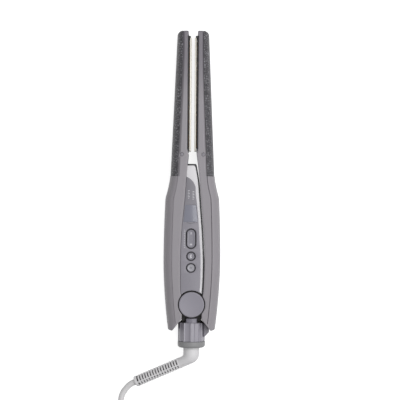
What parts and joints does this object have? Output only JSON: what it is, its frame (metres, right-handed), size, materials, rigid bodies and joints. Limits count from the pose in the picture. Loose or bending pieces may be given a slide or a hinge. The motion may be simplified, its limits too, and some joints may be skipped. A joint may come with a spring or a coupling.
{
  "type": "hair straightener",
  "caption": "Slim hair straightener with hinged arms, floating plates, a button pod, a sliding lock collar and a swivelling lead with a plug.",
  "frame": {"origin": "centre of the rear hub cap's flat face, on the hinge axis at the resting plane", "axes": "+Y from the hinge to the tips, +Z along the hinge axis from the rear face to the front face with the buttons, +X to the right seen from the front"},
  "size_m": [0.154, 0.47, 0.033],
  "materials": {
    "casing": "soft satin grey",
    "heat_panel": "mottled texture, dark grey",
    "chassis": "matte black",
    "plate": "satin champagne coating",
    "heater": "polyimide-wrapped heater foil",
    "silicone": "soft silicone",
    "wire": "insulated wire",
    "steel": "plain steel",
    "panel_grey": "satin grey",
    "pod_white": "satin white",
    "trim": "matte black",
    "window": "tinted, glossy",
    "board": "green board",
    "button_light": "satin light grey",
    "cap": "satin grey",
    "collar": "satin grey",
    "ring": "satin grey",
    "cord": "soft white vinyl",
    "blades": "plated brass"
  },
  "bodies": {
    "hub": {"hub_core": "chassis", "hinge_pin": "steel", "hinge_washers": "steel", "torsion_spring": "steel", "front_hub_cap": "cap", "rear_hub_cap": "cap", "end_ring": "ring", "cord_tube": "cord", "cord_coil": "cord", "cord_tail": "cord", "cord_tie": "trim", "plug_body": "cord", "plug_blades": "blades"},
    "left_arm": {"left_casing": "casing", "left_heat_panel": "heat_panel", "left_frame": "chassis", "left_carrier": "chassis", "left_cushions": "silicone", "left_wires": "wire", "left_screws": "steel", "left_screw_covers": "panel_grey", "pod_housing": "pod_white", "pod_trim": "trim", "control_panel": "panel_grey", "rear_panel": "panel_grey", "display_window": "window", "display_module": "chassis", "circuit_board": "board", "tact_switches": "chassis"},
    "right_arm": {"right_casing": "casing", "right_heat_panel": "heat_panel", "right_frame": "chassis", "right_carrier": "chassis", "right_cushions": "silicone", "right_wires": "wire", "right_screws": "steel", "right_screw_covers": "panel_grey"},
    "left_plate_body": {"left_plate": "plate", "left_heater": "heater", "thermal_sensor": "steel"},
    "right_plate_body": {"right_plate": "plate", "right_heater": "heater", "thermal_fuse": "steel"},
    "rocker_body": {"rocker": "panel_grey"},
    "mode_button_body": {"mode_button": "panel_grey"},
    "power_button_body": {"power_button": "button_light"},
    "lock": {"lock_collar": "collar"},
    "swivel": {"cord_elbow": "cord", "strain_relief": "cord"}
  },
  "joints": [
    {"name": "left_arm_hinge", "type": "hinge", "parent": "hub", "child": "left_arm", "pos_m": [0, 0, 0.016], "axis": [0, 0, 1], "range_deg": [-0.35, 6.5]},
    {"name": "right_arm_hinge", "type": "hinge", "parent": "hub", "child": "right_arm", "pos_m": [0, 0, 0.016], "axis": [0, 0, 1], "range_deg": [-6.5, 0.35]},
    {"name": "left_plate_float", "type": "slide", "parent": "left_arm", "child": "left_plate_body", "axis": [-1, 0, 0], "range_m": [0, 0.0008], "stiffness_N_per_m": 3000},
    {"name": "right_plate_float", "type": "slide", "parent": "right_arm", "child": "right_plate_body", "axis": [1, 0, 0], "range_m": [0, 0.0008], "stiffness_N_per_m": 3000},
    {"name": "rocker_tilt", "type": "hinge", "parent": "left_arm", "child": "rocker_body", "pos_m": [-0.0009, 0.0651, 0.0279], "axis": [1, 0, 0], "range_deg": [-3, 3], "stiffness_Nm_per_rad": 0.05},
    {"name": "mode_press", "type": "slide", "parent": "left_arm", "child": "mode_button_body", "axis": [0, 0, -1], "range_m": [0, 0.0005], "stiffness_N_per_m": 400},
    {"name": "power_press", "type": "slide", "parent": "left_arm", "child": "power_button_body", "axis": [0, 0, -1], "range_m": [0, 0.0005], "stiffness_N_per_m": 400},
    {"name": "lock_slide", "type": "slide", "parent": "hub", "child": "lock", "axis": [0, 1, 0], "range_m": [0, 0.004]},
    {"name": "cord_swivel", "type": "hinge", "parent": "hub", "child": "swivel", "pos_m": [0, -0.0467, 0.016], "axis": [0, 1, 0], "continuous": true}
  ],
  "couplings": [
    {"joint": "right_arm_hinge", "follows": "left_arm_hinge", "ratio": -1}
  ]
}
